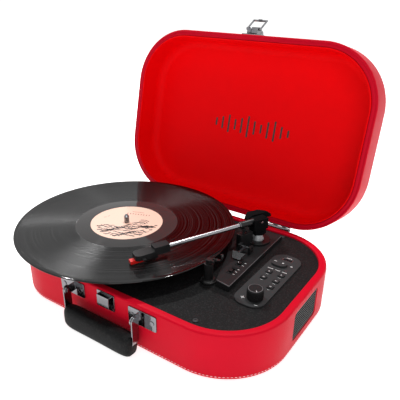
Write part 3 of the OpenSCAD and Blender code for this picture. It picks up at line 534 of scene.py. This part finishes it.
def case_cover():
    """The leather-covered case, with its rounded rims and the ledge that carries the deck."""
    foot_round = 2.2
    rim_round = 2.6
    inner_round = 2.2
    ledge_end = WALL + 12
    ledge_low = deck_low.z - 8
    profile = (arc(foot_round, FLOOR_Z + foot_round, foot_round, 270, 180, 5)
               + arc(rim_round, RIM_Z - rim_round, rim_round, 180, 90, 7)
               + arc(WALL - inner_round, RIM_Z - inner_round, inner_round, 90, 0, 6)
               + [(WALL, deck_low.z), (ledge_end, deck_low.z), (ledge_end, ledge_low),
                  (WALL, ledge_low), (WALL, FLOOR_Z)])
    cover = make("case_cover", loft(case_loops(profile), closed=True), "cover", "case",
                 smooth=35, stands_for=["base_shell"])
    # Both grille openings, the gaps in the ledge for the speakers, and the opening behind the rear panel
    clearance = 0.2
    inside = WALL + 4
    outside = 5
    half = (grille_high - grille_low) / 2
    half_speaker = 22.5
    openings = []
    for side in (-1, 1):
        openings.append(side_plate(half.y + clearance, half.z + clearance, 6, grille.y, grille.z,
                                   side * (HALF_W - inside), side * (HALF_W + outside)))
        near, far = sorted((side * (HALF_W - ledge_end - 1), side * (HALF_W - WALL + clearance)))
        openings.append(box(near, far, grille.y - half_speaker, grille.y + half_speaker,
                            ledge_low - 1, deck_low.z + 1))
    openings.append(box(rear_low.x + 6, rear_high.x - 6, HALF_D - inside, HALF_D + outside,
                        rear_low.z + 5, rear_high.z - 5))
    cut(cover, openings)


def open_lid():
    """From the closed lid's place to the open one that the frame holds."""
    hinge = Vector(joints["lid_hinge"]["pos_m"]) / MM
    turn = Matrix.Rotation(math.radians(-LID_OPEN), 4, "X")
    return Matrix.Translation(hinge) @ turn @ Matrix.Translation(-hinge)


lid_place = open_lid()
lid_back = RIM_Z + LID_H        # the lid's outer face, closed
lining_z = lid_back - 4.0       # the lining's inner face, closed
LIP = 8.2                       # from the lid's outside to the lining


def lid_cover():
    """The lid's leather cover: wall, turned-in rim with a groove, and the rounded back."""
    edge_round = 1.5
    back_round = 5
    profile = ([(LIP, lid_back - 2.6), (LIP, RIM_Z + 1.0)]
               + arc(LIP - 1.2, RIM_Z + 1.4, 0.8, 0, -90, 4)
               + [(4.0, RIM_Z + 0.6), (3.2, RIM_Z + 1.2), (2.6, RIM_Z + 0.6)]
               + arc(edge_round, RIM_Z + 2.0, edge_round, 270, 180, 5)
               + arc(back_round, lid_back - back_round, back_round, 180, 90, 10))
    make("lid_cover", loft(case_loops(profile)), "cover", "lid", lid_place, smooth=50,
         stands_for=["lid_shell"])


def lid_inside():
    """The lid's lining: a piped edge at the rim, the wall, and a fillet into the flat face."""
    fillet = 13
    piping = 0.95
    profile = ([(LIP + 0.15, lining_z + 1.2), (LIP + 0.15, RIM_Z + 0.9)]
               + arc(LIP + 1.15, RIM_Z + piping, piping, 180, 360, 8)
               + [(WALL + 0.6, RIM_Z + 12)]
               + arc(WALL + 0.8 + fillet, lining_z - fillet, fillet, 180, 90, 12))
    make("lid_inside", loft(case_loops(profile)), "lining", "lid", lid_place, smooth=60,
         stands_for=["lid_lining"])


def grille_shade_strips():
    """Dark strips between each grille's bars: painted shade for the gaps and the bars' shaded undersides.
    """
    count = 8
    pitch = 3.9
    half_gap = 0.75
    half_length = 30
    depth = 1.8
    outer = grille_high.x - 0.25
    for side, tag in ((1, "right"), (-1, "left")):
        near, far = sorted((side * outer, side * (outer - depth)))
        strips = []
        for i in range(count):
            z = grille.z + (i - (count - 1) / 2) * pitch
            strips.append(box(near, far, grille.y - half_length, grille.y + half_length,
                              z - half_gap, z + half_gap))
        make(f"grille_shade_strips_{tag}", gather(strips), "hollow", "case")


def stitches(name, body, z, place=None):
    """A row of stitches round the outline at one height."""
    pitch = 4.4
    half = 1.35
    thread_r = 0.45
    row = []
    for p, d in walk(-0.05, pitch):
        a = (p.x - d.x * half, p.y - d.y * half, z)
        b = (p.x + d.x * half, p.y + d.y * half, z)
        row.append(thread(a, b, thread_r))
    make(name, gather(row), "thread", body, place, smooth=80)


def lining_mark():
    """A plain row of bars on the lining."""
    heights = [7, 12, 18, 10, 15, 22, 13, 8, 16, 20, 11, 6]
    pitch = 11.4
    width = 2.8
    middle_x = 1.4
    middle_y = 2.5
    bars = []
    for i, height in enumerate(heights):
        x = middle_x + (i - (len(heights) - 1) / 2) * pitch
        half = height * 0.7
        bars.append(stroke(x, middle_y - half, x, middle_y + half, width, *ink(lining_z, 0.1, 0.25)))
    make("lining_mark", gather(bars), "mark", "lid", lid_place)


case_cover()
lid_cover()
lid_inside()
grille_shade_strips()
stitches("case_stitches", "case", FLOOR_Z + 3.6)
stitches("lid_stitches", "lid", lid_back - 7.5, lid_place)
lining_mark()


# Record and label --------------------------------------------------------------

HOLE_R = 3.65
label_top = mm("record_label")[1].z


def vinyl_disc():
    """The record: a raised middle and edge, and the grooved part a little lower."""
    top = disc_high.z
    low = disc_low.z
    middle_r = 50.4
    edge_out = GROOVES_OUT + 0.4
    profile = ([(HOLE_R, low + 0.1), (HOLE_R, top - 0.25), (49.6, top - 0.25), (middle_r, top),
                (51.5, top - 0.1), (GROOVES_IN, top - 0.12), (GROOVES_IN + 0.5, top - 0.22),
                (GROOVES_OUT - 0.4, top - 0.22), (edge_out, top - 0.1), (disc_r - 1.6, top - 0.02)]
               + arc(disc_r - 1.0, (top + low) / 2, 1.0, 80, -80, 6)
               + [(disc_r - 1.6, low + 0.02), (edge_out, low + 0.1), (middle_r, low)])
    make("vinyl_disc", loft(lathe(profile, SPINDLE, 256), closed=True), "vinyl", "platter_set",
         smooth=25, stands_for=["record"])


def label_disc():
    """The paper label."""
    bottom = disc_high.z - 0.2
    label_r = 49.8
    profile = [(HOLE_R, bottom), (HOLE_R, label_top - 0.02), (4.2, label_top),
               (label_r - 0.6, label_top), (label_r, label_top - 0.1), (label_r, bottom)]
    make("label_disc", loft(lathe(profile, SPINDLE, 128), closed=True), "paper", "platter_set",
         smooth=25, stands_for=["record_label"])


def label_line(x0, y0, x1, y1, width):
    """A line on the label, in the label's own directions, as the record is turned."""
    across, up = Vector((0.825, 0.565, 0)), Vector((-0.565, 0.825, 0))
    a = SPINDLE + across * x0 + up * y0
    b = SPINDLE + across * x1 + up * y1
    return stroke(a.x, a.y, b.x, b.y, width, *ink(label_top, 0.04, 0.03), 3)


def hills():
    """Rolling hills of short lines over the label's lower half, with one peak at the right."""
    layers = 9
    layer_pitch = 3.4
    highest = -12
    side = 43.0
    reach = 45
    lines = []
    for layer in range(layers):
        x = -side
        while x < side:
            step = rng.uniform(2.5, 6.5)
            peak = 7.5 * math.exp(-((x - 17) / 14) ** 2) * (layer < 5)
            crest = highest - layer * layer_pitch + peak + 3 * math.sin(x * 0.16 + layer)
            after = crest + rng.uniform(-2.6, 2.6)
            if math.hypot(x, crest) < reach and math.hypot(x + step, after) < reach:
                lines.append(label_line(x, crest, x + step * 0.8, after, rng.uniform(1.0, 2.6)))
            x += step
    return lines


def arches(x, y):
    """Dashed arches round a place on the label."""
    dashes = 7
    lines = []
    for r, start, end in ((13.0, 35, 95), (9.5, 20, 110), (6.0, 10, 150)):
        for i in range(dashes):
            a = math.radians(start + (end - start) * i / dashes)
            b = math.radians(start + (end - start) * (i + 0.8) / dashes)
            lines.append(label_line(x + r * math.cos(a), y + r * math.sin(a),
                                    x + r * math.cos(b), y + r * math.sin(b), 1.3))
    return lines


def label_dashes():
    """Two rows of dashes, a small column by the spindle and two dashes at the left."""
    lines = []
    for i in range(9):
        x = -2 + i * 3.9
        lines.append(label_line(x, 26 - i * 0.9, x + 0.4, 28.4 - i * 0.9, 1.3))
    for i in range(5):
        x = 5 + i * 3.4
        lines.append(label_line(x, 32.5 - i * 0.8, x + 2, 32 - i * 0.8, 1.1))
    for i in range(3):
        x = -4 + i * 1.7
        lines.append(label_line(x, 6, x, 15 - abs(i - 1) * 3, 1.2))
    lines.append(label_line(-34, 14, -31, 15, 0.9))
    lines.append(label_line(-29, 17, -27, 19, 0.9))
    return lines


vinyl_disc()
label_disc()
make("label_print_dark", gather(hills() + arches(20, -7)), "ink", "platter_set")
make("label_print_red", gather(label_dashes()), "ink_red", "platter_set")


# Grip --------------------------------------------------------------------------

def padded_grip():
    """The handle's padded leather grip: full along its length, drawn in at both ends.

    It hangs a little further out and lower than the CAD grip."""
    low, high = mm("handle_grip")
    centre = (low + high) / 2 - Vector((0, 3.0, 1.2))
    half = (high - low) / 2 + Vector((0, 0.5, 0.9))
    rings = 40
    sides = 40
    squareness = 2 / 2.9
    smallest = 0.3
    end_lift = 2.2
    loops = []
    for k in range(rings + 1):
        t = -1 + 2 * k / rings
        swell = (1 - abs(t) ** 9) ** (1 / 2.6) if abs(t) < 1 else 0.0
        swell = max(swell, smallest)
        waist = 1 - 0.05 * math.cos(t * math.pi * 0.5) ** 2
        ring = []
        for s in range(sides):
            a = s * math.tau / sides
            c, d = math.cos(a), math.sin(a)
            out = math.copysign(abs(c) ** squareness, c)
            lift = math.copysign(abs(d) ** squareness, d)
            y = out * half.y * (0.45 + 0.55 * swell)
            z = lift * half.z * (0.62 + 0.38 * swell) * (waist if lift < 0 else 1.0)
            ring.append((centre.x + t * half.x, centre.y + y, centre.z + z + (1 - swell) * end_lift))
        loops.append(ring)
    grip = make("padded_grip", loft(loops), "grip", "handle", smooth=60,
                stands_for=["handle_grip"])


padded_grip()


# Control panel -----------------------------------------------------------------

knob = middle("volume_knob")
knob_low, knob_high = mm("volume_knob")
knob_r = (knob_high.x - knob_low.x) / 2


def panel_print():
    """Short bars and plain signs beside the lights, the keys, the socket and the knob."""
    lights, mode, socket = middle("status_lights"), middle("mode_button"), middle("usb_socket")
    on_panel = ink(panel_top)
    thick = 0.9
    thin = 0.35
    y = lights.y - 3.8
    marks = [stroke(lights.x + x0, y, lights.x + x1, y, thick, *on_panel)
             for x0, x1 in ((-13.1, -6.1), (-2.8, 3.0), (6.7, 12.2))]
    for node, down, half in (("play_button", 5.6, 1.6), ("record_button", 5.6, 1.6),
                             ("next_button", 5.7, 1.6), ("repeat_button", 5.7, 1.6),
                             ("previous_button", 5.9, 1.4)):
        key = middle(node)
        marks.append(stroke(key.x - half, key.y - down, key.x + half, key.y - down, thin, *on_panel))
    y = socket.y + 4.2
    marks.append(stroke(socket.x - 2.6, y, socket.x + 3.6, y, thick, *on_panel))
    marks += plus(mode.x + 15.0, mode.y + 3.6, 1.5, 0.7, *on_panel)
    marks += plus(knob.x - 12.4, knob.y - 6.5, 2.0, thick, *on_panel)
    marks.append(stroke(knob.x + 5.8, knob.y - 12.4, knob.x + 9.0, knob.y - 11.6, thick, *on_panel))
    make("panel_print", gather(marks), "print", "case")


def mode_print():
    """A dash and a triangle on the wide key."""
    key = middle("mode_button")
    on_key = ink(mm("mode_button")[1].z)
    dash = stroke(key.x - 7.9, key.y + 2, key.x - 4.3, key.y + 2, 0.8, *on_key)
    triangle = prism([(key.x + 3.5, key.y + 0.2), (key.x + 6.2, key.y + 1.6), (key.x + 3.5, key.y + 3)],
                     *on_key)
    make("mode_print", gather([dash, triangle]), "print", "mode")


def key_signs(node):
    """The sign on a small key: play, record, repeat, or a skip to either side."""
    key = middle(node)
    size = 0.72
    line = 0.5
    on_key = ink(mm(node)[1].z, 0.04)
    if node == "play_button":
        return [prism([(key.x - 1.2 * size, key.y - 1.4 * size), (key.x + 1.5 * size, key.y),
                       (key.x - 1.2 * size, key.y + 1.4 * size)], *on_key)]
    if node == "record_button":
        return [prism(arc(key.x, key.y, 1.2 * size, 0, 345, 23), *on_key)]
    if node == "repeat_button":
        rows = (key.y - 0.9 * size, key.y + 0.9 * size)
        return [stroke(key.x - 1.5 * size, y, key.x + 1.5 * size, y, line, *on_key) for y in rows]
    way = size if node == "next_button" else -size
    return [prism([(key.x - 1.5 * way, key.y - 1.2 * size), (key.x + 0.6 * way, key.y),
                   (key.x - 1.5 * way, key.y + 1.2 * size)], *on_key),
            stroke(key.x + 1.3 * way, key.y - size, key.x + 1.3 * way, key.y + size, line, *on_key)]


def knob_details():
    """Ribs round the volume knob, a light rim on its top and a pointer."""
    count = 48
    r = knob_r + 0.02
    ribs = []
    for i in range(count):
        a = i * math.tau / count
        x = knob.x + r * math.cos(a)
        y = knob.y + r * math.sin(a)
        ribs.append(thread((x, y, panel_top + 1.2), (x, y, knob_high.z - 1.6), 0.3, 5))
    make("knob_ribs", gather(ribs), "button", "knob", smooth=80)
    low = knob_high.z - 0.1
    high = knob_high.z + 0.12
    rim = [(knob_r - 1.75, low), (knob_r - 1.75, high), (knob_r - 1.3, high), (knob_r - 1.05, low)]
    make("knob_rim", loft(lathe(rim, knob, 64), closed=True), "edge", "knob", smooth=35)
    direction = Vector((0.62, -0.78))
    near = direction * (knob_r - 4.6)
    far = direction * (knob_r - 1.9)
    pointer = stroke(knob.x + near.x, knob.y + near.y, knob.x + far.x, knob.y + far.y, 0.7,
                     *ink(knob_high.z))
    make("knob_pointer", pointer, "print", "knob")


panel_print()
mode_print()
for node, body in (("play_button", "play"), ("next_button", "next"), ("previous_button", "previous"),
                   ("record_button", "record_key"), ("repeat_button", "repeat")):
    make(f"{node}_print", gather(key_signs(node)), "print", body)
knob_details()


# Arm board ---------------------------------------------------------------------

def slide_switches():
    """Ticks beside both slide switches, and the raised frames round their slots."""
    ticks = []
    frames = []
    half_w = 3.6
    line = 0.7
    on_board = ink(board_high.z, 0.04)
    raised = ink(board_high.z, 0.45, 0.1)
    # Node, from the switch at rest to its slot's middle, half the slot's length, the ticks' places
    for node, travel, half_l, places in (("speed_switch", 2.6, 7.5, (-6.2, -0.2, 5.8)),
                                         ("auto_stop_switch", 1.6, 6.25, (-3.4, 3.2))):
        x = middle(node).x
        y = middle(node).y + travel
        for place in places:
            ticks.append(stroke(x + 4.8, y + place, x + 6.8, y + place, line, *on_board))
        for side in (-1, 1):
            edge_x = x + side * half_w
            edge_y = y + side * half_l
            frames.append(stroke(edge_x, y - half_l, edge_x, y + half_l, line, *raised))
            frames.append(stroke(x - half_w, edge_y, x + half_w, edge_y, line, *raised))
    make("board_print", gather(ticks), "print", "case")
    make("switch_frames", gather(frames), "gloss", "case")


def board_edge_highlights():
    """Painted highlight: light strips along the arm board's front and right side, where its top edges
    catch light.
    """
    front_left = (board_low.x + 29.9, board_low.y + 3.5)
    front_right = (board_high.x - 0.4, board_low.y + 0.2)
    back_right = (board_high.x - 3.5, board_high.y - 1.0)
    edges = [stroke(*front_left, *front_right, 0.8, *ink(board_high.z, 0.05, 0.9)),
             stroke(*front_right, *back_right, 0.5, *ink(board_high.z, 0.05, 0.5))]
    make("board_edge_highlights", gather(edges), "edge", "case", smooth=35)


slide_switches()
board_edge_highlights()


# Arm ---------------------------------------------------------------------------

swing = Vector(joints["arm_swing"]["pos_m"]) / MM
arm_axis_z = Vector(joints["arm_raise"]["pos_m"]).z / MM
arm_frame = (Matrix.Translation((swing.x, swing.y, arm_axis_z))
             @ Matrix.Rotation(math.radians(ARM_TURN), 4, "Z")
             @ Matrix.Rotation(math.radians(ARM_TILT), 4, "X"))


def arm_sleeve():
    """The black sleeve round the tube, from the pivot outward: (distance, radius)."""
    steps = 40
    turns = [t * math.tau / steps for t in range(steps)]
    profile = [(8.6, 4.0), (9.0, 4.45), (30.2, 4.45), (31.2, 3.9), (31.6, 3.06)]
    loops = [[(r * math.cos(a), -d, r * math.sin(a)) for a in turns] for d, r in profile]
    make("arm_sleeve", loft(loops), "plastic", "arm", arm_frame, smooth=35)


def pivot_block():
    """The block that the arm turns in, with its corners and ends taken off."""
    loops = []
    for y, taken in ((-10.3, 0.5), (-9.9, 0.1), (8.7, 0.1), (9.1, 0.5)):
        ring = rounded_loop(5.3 - taken * 0.5, 4.7 - taken * 0.5, 0.5, 0, 5)
        loops.append([(p[0], y, p[1] - 0.6) for p in ring])
    make("pivot_block", loft(loops), "turret", "arm", arm_frame, smooth=35)


def bearing_cone():
    """The cone under the turret, half-metallic light grey: its light grey is painted highlight for the
    sheen on the cone.
    """
    foot_r = 8.4
    profile = [(foot_r, board_high.z + 3.0), (foot_r, board_high.z + 3.9), (4.9, board_high.z + 12.02)]
    make("bearing_cone", loft(lathe(profile, swing, 64)), "satin", "case", smooth=35)


arm_sleeve()
pivot_block()
bearing_cone()


# Camera, floor and light -------------------------------------------------------

def camera():
    """A camera at the photograph's angle."""
    right = Vector((0.82330925, 0.56754279, 0.00755403))
    upward = Vector((-0.25284474, 0.35481032, 0.90009954))
    backward = Vector((0.50816475, -0.74297027, 0.43561883))
    data = bpy.data.cameras.new("camera")
    data.sensor_width = 36
    data.lens = 43.93
    data.shift_x = 0.017675
    data.shift_y = 0.02815
    data.clip_start = 0.02
    cam = link("camera", data)
    turn = Matrix((right, upward, backward)).transposed().to_4x4()
    cam.matrix_world = Matrix.Translation((0.3464855, -0.4580269, 0.3918466)) @ turn
    bpy.context.scene.camera = cam


def floor():
    """A plain pale floor."""
    far = 30.0
    data = bpy.data.meshes.new("floor")
    data.from_pydata([(-far, -far, 0), (far, -far, 0), (far, far, 0), (-far, far, 0)], [], [(0, 1, 2, 3)])
    look = shader("floor_pale", (0.9, 0.9, 0.9, 1.0), 0.9, vary=0.01, spec=0.05)
    glow = look.node_tree.nodes["Principled BSDF"].inputs
    glow["Emission Color"].default_value = (1, 1, 1, 1)
    glow["Emission Strength"].default_value = 0.74
    data.materials.append(look)
    link("floor", data)


def studio():
    """White surroundings, full for what is seen or mirrored and dimmer as light."""
    world = bpy.data.worlds.new("studio")
    bpy.context.scene.world = world
    world.use_nodes = True
    sky = world.node_tree.nodes["Background"]
    sky.inputs["Color"].default_value = (1.0, 1.0, 1.0, 1.0)
    rays = add(world, "LightPath").outputs
    seen = combined(world, "Math", "MAXIMUM", rays["Is Camera Ray"], rays["Is Glossy Ray"])
    wire(world, mapped(world, seen, To_Min=0.34, To_Max=1.0), sky.inputs["Strength"])


def area(name, direction, distance, size, power, aim):
    """A square light in a direction from the place that it faces, in metres and watts."""
    data = bpy.data.lights.new(name, "AREA")
    data.shape = "SQUARE"
    data.size = size
    data.energy = power
    lamp = link(name, data)
    toward = Vector(direction).normalized()
    lamp.location = Vector(aim) + toward * distance
    lamp.rotation_mode = "QUATERNION"
    lamp.rotation_quaternion = toward.to_track_quat("Z", "Y")


camera()
floor()
studio()
disc = SPINDLE * MM
area("light_left", (-0.60, 0.27, 0.75), distance=2.2, size=0.08, power=28, aim=disc)
area("light_over", (0.07, 0.33, 0.94), distance=2.2, size=0.1, power=25, aim=disc)
area("light_low", (-0.48, 0.70, 0.53), distance=2.2, size=0.12, power=8, aim=disc)
area("light_key", (0.55, -0.75, 0.62), distance=2.4, size=1.1, power=14, aim=(0, 0, 0.1))
bpy.context.scene.view_settings.view_transform = "Standard"
